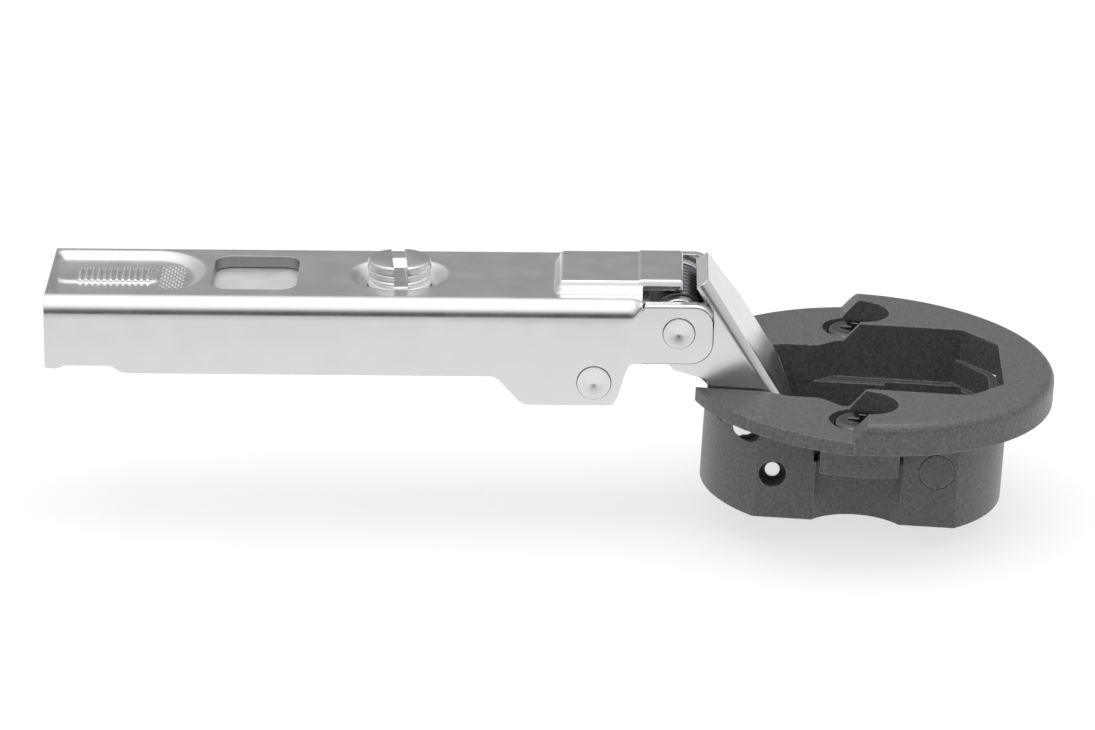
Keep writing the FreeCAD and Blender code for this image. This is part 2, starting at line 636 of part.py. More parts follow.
rim_disc = revolve("rim_disc", [
    (0.0, 0.0), (flangeR, 0.0, flangeRound), (flangeR, -flangeDepth, 0.2), (0.0, -flangeDepth)])
ramp = extrude("ramp", [
    (-20.0, -drop), (-0.9, -drop, 0.4), (0.76, 0.31), (-20.0, 0.31)], half=20.0)
low_end = box("low_end", (-20.0, -0.9), (-20.0, 20.0), (-flangeDepth - 1.0, -drop + 0.5))
rim_high = cut("rim_high", rim_disc, ramp, low_end)
low_disc = rod("low_disc", flangeR + 0.45, -flangeDepth, -drop, (2.5, 0.0), "z")
low_side = box("low_side", (-20.0, -0.6), (-20.0, 20.0), (-flangeDepth - 1.0, 1.0))
rim_low = common("rim_low", low_disc, low_side)
drum = rod("drum", bossR, -bossDepth, -flangeDepth + 0.2, (0.15, 0.0), "z")
drum_flats = box("drum_flats", (-20.0, 20.0), (-bossHalf, bossHalf), (-bossDepth, -flangeDepth + 0.2))
drum_body = common("drum_body", drum, drum_flats)

mouth_corners = [
    (-1.5, -mouthHalf), (9.4, -mouthHalf), (mouthEnd, -5.0), (mouthEnd, 5.0), (9.4, mouthHalf),
    (-1.5, mouthHalf), (-2.9, 7.0, 0.5), (-3.5, 6.65), (-6.0, 6.65, 1.0), (-8.0, slotHalf, 1.0),
    (-20.0, slotHalf), (-20.0, -slotHalf), (-8.0, -slotHalf, 1.0), (-6.0, -6.65, 1.0),
    (-3.5, -6.65), (-2.9, -7.0, 0.5)]
mouth = extrude("mouth", mouth_corners, low=-flangeDepth, high=1.0)
well = extrude("well", [
    (-10.7, -slotHalf), (-8.0, -slotHalf, 1.0), (-6.0, -6.65, 1.0), (-3.5, -6.65), (-2.9, -7.0, 0.5),
    (-1.5, -mouthHalf), (9.0, -mouthHalf), (mouthEnd - 0.7, -4.8), (mouthEnd - 0.7, 4.8),
    (9.0, mouthHalf), (-1.5, mouthHalf), (-2.9, 7.0, 0.5), (-3.5, 6.65), (-6.0, 6.65, 1.0),
    (-8.0, slotHalf, 1.0), (-10.7, slotHalf)], low=-ledgeDepth, high=-flangeDepth + 0.01)
pit = extrude("pit", [
    (-10.7, -slotHalf, 0.6), (-6.0, -6.65, 1.0), (9.0, -6.9, 0.5), (mouthEnd - 0.9, -4.6, 0.5),
    (mouthEnd - 0.9, 4.6, 0.5), (9.0, 6.9, 0.5), (-6.0, 6.65, 1.0), (-10.7, slotHalf, 0.6)],
    low=-floorDepth, high=-ledgeDepth + 0.01)
pocketRear, pocketFront, pocketHalf = size("pocketRear"), size("pocketFront"), size("pocketHalf")
pocket = extrude("pocket", [
    (pocketRear, -pocketHalf, 0.4), (pocketFront, -pocketHalf, 0.4), (pocketFront, pocketHalf, 0.4),
    (pocketRear, pocketHalf, 0.4)], low=-size("pocketDepth"), high=-ledgeDepth + 0.01)
gate = box("gate", (-20.0, -10.0), (-slotHalf, slotHalf), (-slotDepth, -flangeDepth + 0.01))

# A pocket inside the gate's wall for the inner link's far eye
shallowU, shallowW = size("shallowPinU"), size("shallowPinW")
eye_room = box("eye_room", (shallowU - innerFar - 0.13, -10.5), (-innerHalf - 0.25, innerHalf + 0.25),
               (shallowW - innerFar - 0.5, -slotDepth + 0.05))

blockFoot, seatDepth = size("blockFoot"), size("seatDepth")
grooves, blocks, slits, seats, shanks, rings = [], [], [], [], [], []
for sign, word in ((-1, "front"), (1, "back")):
    v = seatV * sign
    grooves.append(rod("groove_" + word, 4.65, -bossDepth - 1.0, -flangeDepth, (0.3, 12.6 * sign), "z"))
    block = box("block_" + word, (-3.2, 3.5), (7.6 * sign, 14.0 * sign), (-blockFoot, -flangeDepth + 0.2))
    bore_face = rod("bore_face_" + word, bossR - 0.1, -blockFoot, -flangeDepth + 0.2, (0.15, 0.0), "z")
    blocks.append(common("tongue_" + word, block, bore_face))
    slits.append(box("slit_" + word, (-3.6, -3.2), (8.6 * sign, 13.2 * sign), (-blockFoot, -flangeDepth)))
    seats.append(rod("seat_" + word, seatR, -seatDepth, 1.0, (seatU, v), "z"))
    shanks.append(rod("shank_hole_" + word, size("clampShank") + snug, -blockFoot + 0.3, 0.0,
                      (seatU, v), "z"))
    ring_out = rod("ring_out_" + word, 1.58, (bossHalf - 0.1) * sign, 10.2 * sign, (6.93, -6.6))
    ring_in = rod("ring_in_" + word, 1.5, 9.5 * sign, 10.4 * sign, (6.93, -6.6))
    rings.append(cut("ring_" + word, ring_out, ring_in))
deep_bore = rod("deep_bore", cupPin + snug, -20.0, 20.0, (size("deepPinU"), size("deepPinW")))
shallow_bore = rod("shallow_bore", cupPin + snug, -20.0, 20.0, (shallowU, shallowW))

drum_cut = cut("drum_cut", drum_body, *grooves)
boss_solid = fuse("boss_solid", rim_high, rim_low, drum_cut, *blocks)
openings = [mouth, well, pit, pocket, gate, eye_room, deep_bore, shallow_bore]
openings += slits + seats + shanks + rings
boss = cut("boss", boss_solid, *openings)
place(boss, cupX, 0.0, cupZ, (0, 1, 0), cupTilt)
node(boss, "cup_boss")


def cup_pin(label, x, z):
    reach = size("cupPinHalf")
    shaft = rod(label + "_shaft", cupPin, -reach + 0.5, reach - 0.5, (x, z))
    low = cone(label + "_tip_front", cupPin - 0.5, cupPin, -reach, -reach + 0.5, (x, z), "y")
    high = cone(label + "_tip_back", cupPin, cupPin - 0.5, reach - 0.5, reach, (x, z), "y")
    return node(fuse(label + "_whole", shaft, low, high), label)


cup_pin("deep_cup_pin", size("deepPinX"), size("deepPinZ"))
cup_pin("shallow_cup_pin", size("shallowPinX"), size("shallowPinZ"))


def clamp_screw(label, sign):
    """A domed head with a cross recess over a plain shank, drawn in the cup's frame."""
    v, radius = seatV * sign, size("clampHead")
    head = rod(label + "_head", radius, -seatDepth, -seatDepth + 0.45, (seatU, v), "z")
    crown = cone(label + "_crown", radius, radius - 0.9, -seatDepth + 0.45, -seatDepth + 1.0, (seatU, v))
    shank = rod(label + "_shank", size("clampShank"), -blockFoot + 0.4, -seatDepth, (seatU, v), "z")
    depth = (-seatDepth + 0.2, 0.0)
    arm_u = box(label + "_arm_u", (seatU - 1.3, seatU + 1.3), (v - 0.28, v + 0.28), depth)
    arm_v = box(label + "_arm_v", (seatU - 0.28, seatU + 0.28), (v - 1.3, v + 1.3), depth)
    screw = cut(label + "_cut", fuse(label + "_solid", head, crown, shank), arm_u, arm_v)
    place(screw, cupX, 0.0, cupZ, (0, 1, 0), cupTilt)
    return node(screw, label)


clamp_screw("front_clamp_screw", -1)
clamp_screw("back_clamp_screw", 1)

doc.recompute()

os.makedirs("parts", exist_ok=True)
for obj in doc.Objects:
    if "Invalid" in obj.State or "Error" in obj.State:
        raise RuntimeError("%s did not compute: %s" % (obj.Label, obj.State))
for obj in nodes:
    shape = obj.Shape
    if shape.isNull() or not shape.isValid():
        raise RuntimeError("%s has no valid shape" % obj.Label)
    if len(shape.Solids) != 1:
        raise RuntimeError("%s has %d solids" % (obj.Label, len(shape.Solids)))
    shape.exportStep("parts/%s.step" % obj.Label)
    bounds = shape.BoundBox
    print("%-20s %8.1f mm3  X %.2f %.2f  Y %.2f %.2f  Z %.2f %.2f" % (
        obj.Label, shape.Volume, bounds.XMin, bounds.XMax, bounds.YMin, bounds.YMax,
        bounds.ZMin, bounds.ZMax))
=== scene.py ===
import json
import math

import bmesh
import bpy
from mathutils import Matrix, Vector


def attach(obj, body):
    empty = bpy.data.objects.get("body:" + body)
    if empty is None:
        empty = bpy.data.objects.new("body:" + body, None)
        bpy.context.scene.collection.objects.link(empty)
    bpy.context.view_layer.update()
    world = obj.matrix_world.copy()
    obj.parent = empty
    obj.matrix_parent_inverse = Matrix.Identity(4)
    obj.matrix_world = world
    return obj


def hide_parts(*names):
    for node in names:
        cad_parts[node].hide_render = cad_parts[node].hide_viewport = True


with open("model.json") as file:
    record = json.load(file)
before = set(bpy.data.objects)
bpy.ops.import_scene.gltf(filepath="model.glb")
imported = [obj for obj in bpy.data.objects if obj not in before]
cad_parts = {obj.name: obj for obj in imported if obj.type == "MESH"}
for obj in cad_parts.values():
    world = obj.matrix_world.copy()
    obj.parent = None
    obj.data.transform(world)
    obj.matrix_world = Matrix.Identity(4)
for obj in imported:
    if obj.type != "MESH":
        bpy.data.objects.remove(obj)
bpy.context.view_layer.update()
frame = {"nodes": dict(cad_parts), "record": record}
nodes = frame["nodes"]
mm = 0.001

# camera: fitted to the photograph; lengths in mm, measured from the front pivot
camera = {
    "pivot": (24.0, 0.0, 4.0), "distance": 541.449, "shiftRight": 11.2794, "shiftUp": 5.1365,
    "pitch": 19.926, "yaw": -0.8627, "roll": 0.2015,
    "lens": 207.07, "sensor": 36.0, "nearest": 0.01, "farthest": 20.0,
}


def addCamera():
    pitch, yaw, roll = (math.radians(camera[k]) for k in ("pitch", "yaw", "roll"))
    level = math.cos(pitch)
    ahead = Vector((math.sin(yaw) * level, math.cos(yaw) * level, -math.sin(pitch)))
    side = Vector((math.cos(yaw), -math.sin(yaw), 0.0))
    rise = side.cross(ahead)
    right = side * math.cos(roll) + rise * math.sin(roll)
    up = rise * math.cos(roll) - side * math.sin(roll)
    place = (Vector(camera["pivot"]) - ahead * camera["distance"]
             - right * camera["shiftRight"] - up * camera["shiftUp"]) * mm
    data = bpy.data.cameras.new("photoCamera")
    data.lens = camera["lens"]
    data.sensor_width = camera["sensor"]
    data.sensor_fit = "HORIZONTAL"
    data.clip_start = camera["nearest"]
    data.clip_end = camera["farthest"]
    body = bpy.data.objects.new("photoCamera", data)
    bpy.context.scene.collection.objects.link(body)
    turn = Matrix((right, up, -ahead)).transposed().to_4x4()
    body.matrix_world = Matrix.Translation(place) @ turn
    bpy.context.scene.camera = body


addCamera()
print("camera set")


# nodes that the studio and the finishes share
def ranged(tree, source, low, high, start=0.0, end=1.0, smooth=False):
    node = tree.nodes.new("ShaderNodeMapRange")
    node.interpolation_type = "SMOOTHSTEP" if smooth else "LINEAR"
    for socket, value in (("From Min", low), ("From Max", high), ("To Min", start),
                          ("To Max", end)):
        node.inputs[socket].default_value = value
    tree.links.new(source, node.inputs["Value"])
    return node.outputs["Result"]


def combined(tree, operation, first, second):
    node = tree.nodes.new("ShaderNodeMath")
    node.operation = operation
    tree.links.new(first, node.inputs[0])
    tree.links.new(second, node.inputs[1])
    return node.outputs[0]


def blended(tree, factor, first, second):
    node = tree.nodes.new("ShaderNodeMix")
    node.data_type = "RGBA"
    for socket, value in (("Factor", factor), ("A", first), ("B", second)):
        if isinstance(value, tuple):
            node.inputs[socket].default_value = value
        else:
            tree.links.new(value, node.inputs[socket])
    return node.outputs["Result"]


def mixed(tree, factor, first, second):
    node = tree.nodes.new("ShaderNodeMixShader")
    if isinstance(factor, float):
        node.inputs["Fac"].default_value = factor
    else:
        tree.links.new(factor, node.inputs["Fac"])
    tree.links.new(first, node.inputs[1])
    tree.links.new(second, node.inputs[2])
    return node.outputs[0]


def ramped(tree, source, stops):
    node = tree.nodes.new("ShaderNodeValToRGB")
    elements = node.color_ramp.elements
    while len(elements) < len(stops):
        elements.new(0.5)
    for element, (place, level) in zip(elements, stops):
        element.position = (place + 1.0) / 2.0
        element.color = (level, level, level, 1.0)
    tree.links.new(source, node.inputs["Fac"])
    return node.outputs["Color"]


def splitCoords(tree, kind):
    coords = tree.nodes.new("ShaderNodeTexCoord")
    split = tree.nodes.new("ShaderNodeSeparateXYZ")
    tree.links.new(coords.outputs[kind], split.inputs[0])
    return split.outputs


# studio: white paper below, bright ceiling, a dark strip in front and a grey wall behind;
# the walls' stops are (height, level) pairs, from -1 below to 1 overhead
studio = {
    "white": (1.0, 1.0, 1.0, 1.0),
    "floorZ": -0.0146, "floorSize": 3.0, "paper": (0.97, 0.97, 0.97, 1.0), "paperRough": 0.9,
    "paperShadow": 0.3, "paperFront": -0.075, "paperFade": 0.05, "darkPaper": 0.06,
    "frontStops": ((-0.30, 0.95), (-0.10, 0.10), (0.20, 0.08), (0.42, 0.55), (0.65, 1.25),
                   (1.0, 1.35)),
    "backStops": ((-0.30, 0.60), (0.05, 0.30), (0.40, 0.36), (0.62, 0.80), (0.80, 1.30),
                  (1.0, 1.35)),
    "wallTurn": (-0.25, 0.25), "leftSide": (-0.03, -0.35), "rightSide": (0.5, 0.75),
    "leftGlow": 0.38, "rightGlow": 0.55,
}
softbox = {"place": (0.02, -0.05, 0.9), "aim": (0.015, 0, 0), "size": (0.8, 0.6), "power": 2.5}


def addWorld():
    world = bpy.data.worlds.new("studioWorld")
    bpy.context.scene.world = world
    world.use_nodes = True
    tree = world.node_tree
    tree.nodes.clear()
    split = splitCoords(tree, "Generated")
    height = ranged(tree, split["Z"], -1.0, 1.0)
    ahead = ramped(tree, height, studio["frontStops"])
    behind = ramped(tree, height, studio["backStops"])
    walls = blended(tree, ranged(tree, split["Y"], *studio["wallTurn"], smooth=True), ahead, behind)
    left = ranged(tree, split["X"], *studio["leftSide"], 0.0, studio["leftGlow"], True)
    right = ranged(tree, split["X"], *studio["rightSide"], 0.0, studio["rightGlow"], True)
    lit = blended(tree, combined(tree, "MAXIMUM", left, right), walls, studio["white"])
    room = tree.nodes.new("ShaderNodeBackground")
    tree.links.new(lit, room.inputs["Color"])
    white = tree.nodes.new("ShaderNodeBackground")
    white.inputs["Color"].default_value = studio["white"]
    path = tree.nodes.new("ShaderNodeLightPath")
    shown = mixed(tree, path.outputs["Is Camera Ray"], room.outputs[0], white.outputs[0])
    out = tree.nodes.new("ShaderNodeOutputWorld")
    tree.links.new(shown, out.inputs["Surface"])


def addSoftbox():
    data = bpy.data.lights.new("topSoftbox", "AREA")
    data.shape = "RECTANGLE"
    data.size, data.size_y = softbox["size"]
    data.energy = softbox["power"]
    lamp = bpy.data.objects.new("topSoftbox", data)
    bpy.context.scene.collection.objects.link(lamp)
    lamp.location = softbox["place"]
    aim = Vector(softbox["aim"]) - Vector(softbox["place"])
    lamp.rotation_euler = aim.to_track_quat("-Z", "Y").to_euler()


def addFloor():
    bpy.ops.object.select_all(action="DESELECT")
    bpy.ops.mesh.primitive_plane_add(size=studio["floorSize"], location=(0, 0, studio["floorZ"]))
    bpy.ops.object.transform_apply(location=True, rotation=False, scale=False)
    floor = bpy.context.object
    floor.name = "studioFloor"
    paper = bpy.data.materials.new("studioPaper")
    paper.use_nodes = True
    tree = paper.node_tree
    matt = tree.nodes["Principled BSDF"]
    matt.inputs["Base Color"].default_value = studio["paper"]
    matt.inputs["Roughness"].default_value = studio["paperRough"]
    path = tree.nodes.new("ShaderNodeLightPath")
    # what metal sees: white paper close by, dark floor further in front
    front = studio["paperFront"]
    fade = ranged(tree, splitCoords(tree, "Object")["Y"], front - studio["paperFade"], front,
                  studio["darkPaper"], 1.0, True)
    seen = tree.nodes.new("ShaderNodeEmission")
    tree.links.new(fade, seen.inputs["Strength"])
    mirrored = combined(tree, "MAXIMUM", path.outputs["Is Glossy Ray"],
                        path.outputs["Is Transmission Ray"])
    toMetal = mixed(tree, mirrored, matt.outputs[0], seen.outputs[0])
    # what the camera sees: white paper that keeps part of its shadow
    white = tree.nodes.new("ShaderNodeEmission")
    shaded = mixed(tree, studio["paperShadow"], white.outputs[0], matt.outputs[0])
    toCamera = mixed(tree, path.outputs["Is Camera Ray"], toMetal, shaded)
    tree.links.new(toCamera, tree.nodes["Material Output"].inputs["Surface"])
    floor.data.materials.append(paper)


addWorld()
addFloor()
addSoftbox()
print("studio set")

# finishes: one grain for all of them; scales per metre, depths and edges in metres
grain = {
    "detail": 3.0, "maskScale": 420.0, "maskDetail": 2.0, "bevelSamples": 6, "corner": (0.995, 0.8),
    "steelScale": 2600.0, "steelEdge": 0.00012, "steelTint": (0.96, 1.03), "steelGloss": 0.03,
    "nylonScale": 4000.0, "nylonEdge": 0.00018, "nylonTint": (0.70, 1.45), "nylonGloss": 0.06,
    "nylonDepth": 0.000024, "nylonIor": 1.53, "nylonEdgeHighlight": 4.0, "spread": (0.3, 0.7),
}


def grainGroup():
    group = bpy.data.node_groups.new("fineGrain", "ShaderNodeTree")
    make = group.nodes.new
    link = group.links.new
    for label, start in (("Scale", 2600.0), ("Depth", 0.000001), ("Edge", 0.0001)):
        socket = group.interface.new_socket(label, in_out="INPUT", socket_type="NodeSocketFloat")
        socket.default_value = start
    group.interface.new_socket("Normal", in_out="OUTPUT", socket_type="NodeSocketVector")
    for label in ("Mask", "Corner", "Speckle"):
        group.interface.new_socket(label, in_out="OUTPUT", socket_type="NodeSocketFloat")
    entry = make("NodeGroupInput")
    leave = make("NodeGroupOutput")
    coords = make("ShaderNodeTexCoord")
    fine = make("ShaderNodeTexNoise")
    fine.inputs["Detail"].default_value = grain["detail"]
    link(coords.outputs["Object"], fine.inputs["Vector"])
    link(entry.outputs["Scale"], fine.inputs["Scale"])
    coarse = make("ShaderNodeTexNoise")
    coarse.inputs["Detail"].default_value = grain["maskDetail"]
    coarse.inputs["Scale"].default_value = grain["maskScale"]
    link(coords.outputs["Object"], coarse.inputs["Vector"])
    edge = make("ShaderNodeBevel")
    edge.samples = grain["bevelSamples"]
    link(entry.outputs["Edge"], edge.inputs["Radius"])
    ridge = make("ShaderNodeBump")
    ridge.inputs["Strength"].default_value = 1.0
    link(edge.outputs["Normal"], ridge.inputs["Normal"])
    link(entry.outputs["Depth"], ridge.inputs["Distance"])
    link(fine.outputs["Fac"], ridge.inputs["Height"])
    link(ridge.outputs["Normal"], leave.inputs["Normal"])
    link(coarse.outputs["Fac"], leave.inputs["Mask"])
    link(fine.outputs["Fac"], leave.inputs["Speckle"])
    # corners: where the rounded normal leaves the true one
    shape = make("ShaderNodeNewGeometry")
    turned = make("ShaderNodeVectorMath")
    turned.operation = "DOT_PRODUCT"
    link(edge.outputs["Normal"], turned.inputs[0])
    link(shape.outputs["Normal"], turned.inputs[1])
    link(ranged(group, turned.outputs["Value"], *grain["corner"]), leave.inputs["Corner"])
    return group


fineGrain = grainGroup()


def startFinish(name, scale, depth, edge):
    material = bpy.data.materials.new(name)
    material.use_nodes = True
    tree = material.node_tree
    shader = tree.nodes["Principled BSDF"]
    group = tree.nodes.new("ShaderNodeGroup")
    group.node_tree = fineGrain
    for socket, value in (("Scale", scale), ("Depth", depth), ("Edge", edge)):
        group.inputs[socket].default_value = value
    tree.links.new(group.outputs["Normal"], shader.inputs["Normal"])
    return material, tree, shader, group.outputs


def tinted(colour, share):
    return (*(min(c * share, 1.0) for c in colour), 1.0)


def metalFinish(name, colour, roughness, depth):
    material, tree, shader, masks = startFinish(name, grain["steelScale"], depth,
                                                grain["steelEdge"])
    shader.inputs["Metallic"].default_value = 1.0
    dark, light = (tinted(colour, share) for share in grain["steelTint"])
    tree.links.new(blended(tree, masks["Mask"], dark, light), shader.inputs["Base Color"])
    gloss = ranged(tree, masks["Mask"], *grain["spread"],
                   roughness - grain["steelGloss"], roughness + grain["steelGloss"])
    tree.links.new(gloss, shader.inputs["Roughness"])
    return material


def nylonFinish(name, colour, roughness):
    material, tree, shader, masks = startFinish(name, grain["nylonScale"], grain["nylonDepth"],
                                                grain["nylonEdge"])
    shader.inputs["IOR"].default_value = grain["nylonIor"]
    dark, light = (tinted(colour, share) for share in grain["nylonTint"])
    speckle = ranged(tree, masks["Speckle"], *grain["spread"])
    plain = blended(tree, speckle, dark, light)
    # painted highlight: the base colour is lightened along rounded corners, broken up by the
    # speckle
    paintedEdgeHighlight = combined(tree, "MULTIPLY", masks["Corner"], speckle)
    highlightedNylon = blended(tree, paintedEdgeHighlight, plain, tinted(colour, grain["nylonEdgeHighlight"]))
    tree.links.new(highlightedNylon, shader.inputs["Base Color"])
    gloss = ranged(tree, masks["Mask"], 0.0, 1.0,
                   roughness - grain["nylonGloss"], roughness + grain["nylonGloss"])
    tree.links.new(gloss, shader.inputs["Roughness"])
    return material


platedSteel = metalFinish("platedSteel", (0.76, 0.76, 0.77), 0.23, 0.0000015)
satinSteel = metalFinish("satinSteel", (0.77, 0.77, 0.78), 0.50, 0.000002)
rivetSteel = metalFinish("rivetSteel", (0.80, 0.80, 0.81), 0.26, 0.0000006)
screwSteel = metalFinish("screwSteel", (0.74, 0.74, 0.75), 0.20, 0.0000006)
springSteel = metalFinish("springSteel", (0.10, 0.10, 0.11), 0.32, 0.0000006)
# painted shade: a darker, rougher steel for the window's cut walls, standing in for the shade
# inside the window
paintedShadeWall = metalFinish("paintedShadeWall", (0.34, 0.34, 0.35), 0.45, 0.000003)
# painted shade: a dark metal laid on rivet rims and lower ear edges, standing in for the shadow in
# the gaps between parts
paintedShadeLine = metalFinish("paintedShadeLine", (0.16, 0.16, 0.17), 0.45, 0.0000008)
# painted shade: the clamp screws get a very dark steel standing in for the shade of their deep
# seats, leaving only glints
paintedShadeClampSteel = metalFinish("paintedShadeClampSteel", (0.12, 0.12, 0.125), 0.13, 0.0000008)
blackNylon = nylonFinish("blackNylon", (0.078, 0.078, 0.081), 0.36)
finishes = {
    "plated_steel": platedSteel, "rivet_steel": rivetSteel, "screw_steel": screwSteel,
    "spring_steel": springSteel, "black_nylon": blackNylon,
}
for part in frame["record"]["subparts"]:
    node = part["node"]
    finish = satinSteel if node == "clip_catch" else finishes[part["material_slot"]]
    mesh = nodes[node].data
    for place in range(len(mesh.materials)):
        mesh.materials[place] = finish
print("finishes set")

# arm: one sheet, pressed and folded; lengths in mm; columns and rows are (place, steps) pairs
arm = {
    "rear": -30.0, "front": 26.94, "half": 7.25, "top": 6.64, "sheet": 1.0, "bend": 1.4,
    "columns": ((-30.0, 0), (-29.7, 4), (-20.9, 44), (-18.1, 28), (-16.4, 9), (-16.0, 2),
                (-8.7, 26), (-4.4, 14), (4.4, 44), (13.2, 22), (14.2, 8), (20.3, 22), (20.9, 6),
                (24.0, 13), (24.35, 5), (25.3, 4)),
    "lastColumns": 14, "lastRun": 1.64,
    "rows": ((0.0, 0), (3.0, 15), (3.75, 4), (4.15, 6), (4.4, 3), (5.2, 5)),
    "outerRows": 4, "bendRows": 8, "wallRows": 10,
    "foot": ((-30.0, 0.5), (-29.7, 0.35), (-28.8, 0.35), (-28.5, 0.66), (-24.4, 0.66),
             (-23.35, 0.0), (8.4, 0.0), (10.7, -2.54), (18.57, -2.54), (19.68, 1.22),
             (26.94, 1.22)),
    "earTop": 6.5, "earCorner": 1.6, "footCorner": 2.0, "earStart": 20.95,
    "earRound": (0.22, 3, 0), "earShadeLine": (0.07, 1, 1), "earSplit": 5.0,
    "notch": 20.9, "bendFade": 20.0, "endBend": 0.45,
    "scoopHalf": 5.7, "scoopDepth": 0.55, "scoopNose": -21.2, "scoopTip": -16.6,
    "scoopSide": 0.45, "scoopRear": 0.9,
    "padHalf": 1.8, "padRise": 0.16, "padCentre": 0.35, "padEnds": (-29.35, -20.7),
    "padEdge": 0.9, "padFall": (0.7, 1.0),
    "knurlBox": (-20.7, -18.3, -3.0, 3.4), "knurlDepth": 0.09, "knurlWaves": (12.0, 7.0),
    "knurlEdge": (0.4, 0.5),
    "dimple": (4.3, 2.9, 1.0), "hole": 2.8, "holeZone": 3.6,
    "window": (-16.0, -8.7, 4.35, 1.5), "windowZone": (-16.8, -7.9, 5.1),
    "panelStart": 13.3, "panelSlope": 0.75, "panelRise": 0.9,
    "panelSteep": (0.6, 4.24, 3.86), "panelSoft": (0.4, 5.3, 4.15),
    "tongueHalf": 4.15, "tongueEnd": 24.35, "tongueRise": 0.1, "tongueStep": (0.45, 0.1),
    "tongueRound": 0.36,
    "ribs": 12, "ribPitch": 0.53, "ribStart": -27.4, "ribRadius": 0.26, "ribReach": 1.75,
    "ribSink": 0.13, "ribRound": 0.17,
}


def eased(low, high, value):
    share = min(max((value - low) / (high - low), 0.0), 1.0)
    return share * share * (3.0 - 2.0 * share)


def along(points, value):
    for (x0, z0), (x1, z1) in zip(points, points[1:]):
        if value <= x1:
            return z0 + (z1 - z0) * max(value - x0, 0.0) / (x1 - x0)
    return points[-1][1]


def spread(stops):
    places = [stops[0][0]]
    for (low, _), (high, count) in zip(stops, stops[1:]):
        places += [low + (high - low) * (i + 1) / count for i in range(count)]
    return places


def armFoot(x):
    soft = sum(along(arm["foot"], x + 0.1 * k) for k in range(-3, 4)) / 7.0
    back = arm["front"] - x
    if back < arm["footCorner"]:
        r = arm["footCorner"]
        soft = arm["foot"][-1][1] + r - math.sqrt(max(r * r - (r - back) ** 2, 0.0))
    return soft


def armBrow(x):
    fade = eased(arm["bendFade"], arm["notch"], x)
    bend = arm["bend"] + (arm["endBend"] - arm["bend"]) * fade
    brow = arm["top"] - bend if x < arm["notch"] + 0.001 else arm["earTop"]
    back = arm["front"] - x
    if back < arm["earCorner"]:
        r = arm["earCorner"]
        brow -= r - math.sqrt(max(r * r - (r - back) ** 2, 0.0))
    return bend, brow


def armHeight(x, y):
    rise = 0.0
    reach = (y / arm["scoopHalf"]) ** 2
    if x > arm["scoopNose"]:
        reach += ((x - arm["scoopNose"]) / (arm["scoopTip"] - arm["scoopNose"])) ** 2
    dip = max(1.0 - reach, 0.0)
    behind = eased(arm["rear"], arm["rear"] + arm["scoopRear"], x)
    rise -= arm["scoopDepth"] * eased(0.0, arm["scoopSide"], dip) * behind
    low, high = arm["padEnds"]
    rim = arm["padEdge"]
    aside = max(abs(y - arm["padCentre"]) - arm["padHalf"] + rim, 0.0)
    ahead = max(low + rim - x, x - high + rim, 0.0)
    rise += arm["padRise"] * (1.0 - eased(*arm["padFall"], math.hypot(aside, ahead)))
    x0, x1, y0, y1 = arm["knurlBox"]
    if x0 < x < x1 and y0 < y < y1:
        fx, fy = arm["knurlEdge"]
        edge = (eased(x0, x0 + fx, x) * eased(x1, x1 - fx, x)
                * eased(y0, y0 + fy, y) * eased(y1, y1 - fy, y))
        wx, wy = arm["knurlWaves"]
        rise += arm["knurlDepth"] * edge * math.cos((x - x0) * wx) * math.cos((y - y0) * wy)
    outer, inner, depth = arm["dimple"]
    rise -= depth * eased(outer, inner, math.hypot(x, y))
    side = sum(share * eased(low, high, abs(y))
               for share, low, high in (arm["panelSteep"], arm["panelSoft"]))
    start = arm["panelStart"]
    rise += arm["panelRise"] * side * eased(start, start + arm["panelSlope"], x)
    before, after = arm["tongueStep"]
    rise += arm["tongueRise"] * eased(arm["notch"] - before, arm["notch"] - after, x) * side
    short = min(max(x - arm["tongueEnd"] + arm["tongueRound"], 0.0), arm["tongueRound"])
    rise -= arm["tongueRound"] - math.sqrt(arm["tongueRound"] ** 2 - short * short)
    return arm["top"] + rise


def emptyGrid(name, columns, rows):
    bpy.ops.object.select_all(action="DESELECT")
    bpy.ops.mesh.primitive_grid_add(x_subdivisions=columns, y_subdivisions=rows, size=2.0,
                                    location=(0, 0, 0))
    piece = bpy.context.object
    piece.name = name
    return piece


def dropFaces(piece, unwanted):
    bpy.ops.object.mode_set(mode="EDIT")
    bpy.ops.mesh.select_mode(type="FACE")
    bpy.ops.mesh.select_all(action="DESELECT")
    bpy.ops.object.mode_set(mode="OBJECT")
    for face in piece.data.polygons:
        face.select = unwanted(face)
    bpy.ops.object.mode_set(mode="EDIT")
    bpy.ops.mesh.delete(type="FACE")
    bpy.ops.object.mode_set(mode="OBJECT")


def snapRing(piece, inZone, toRing):
    mesh = bmesh.new()
    mesh.from_mesh(piece.data)
    for vert in mesh.verts:
        if vert.is_boundary and inZone(vert.co):
            vert.co = toRing(vert.co)
    mesh.to_mesh(piece.data)
    mesh.free()


def smoothByAngle(angle):
    bpy.ops.object.shade_smooth_by_angle(angle=math.radians(angle))


def thicken(piece, sheet, angle):
    bpy.context.view_layer.objects.active = piece
    solid = piece.modifiers.new("sheet", "SOLIDIFY")
    solid.thickness = sheet
    solid.offset = -1.0
    bpy.ops.object.modifier_apply(modifier="sheet")
    smoothByAngle(angle)


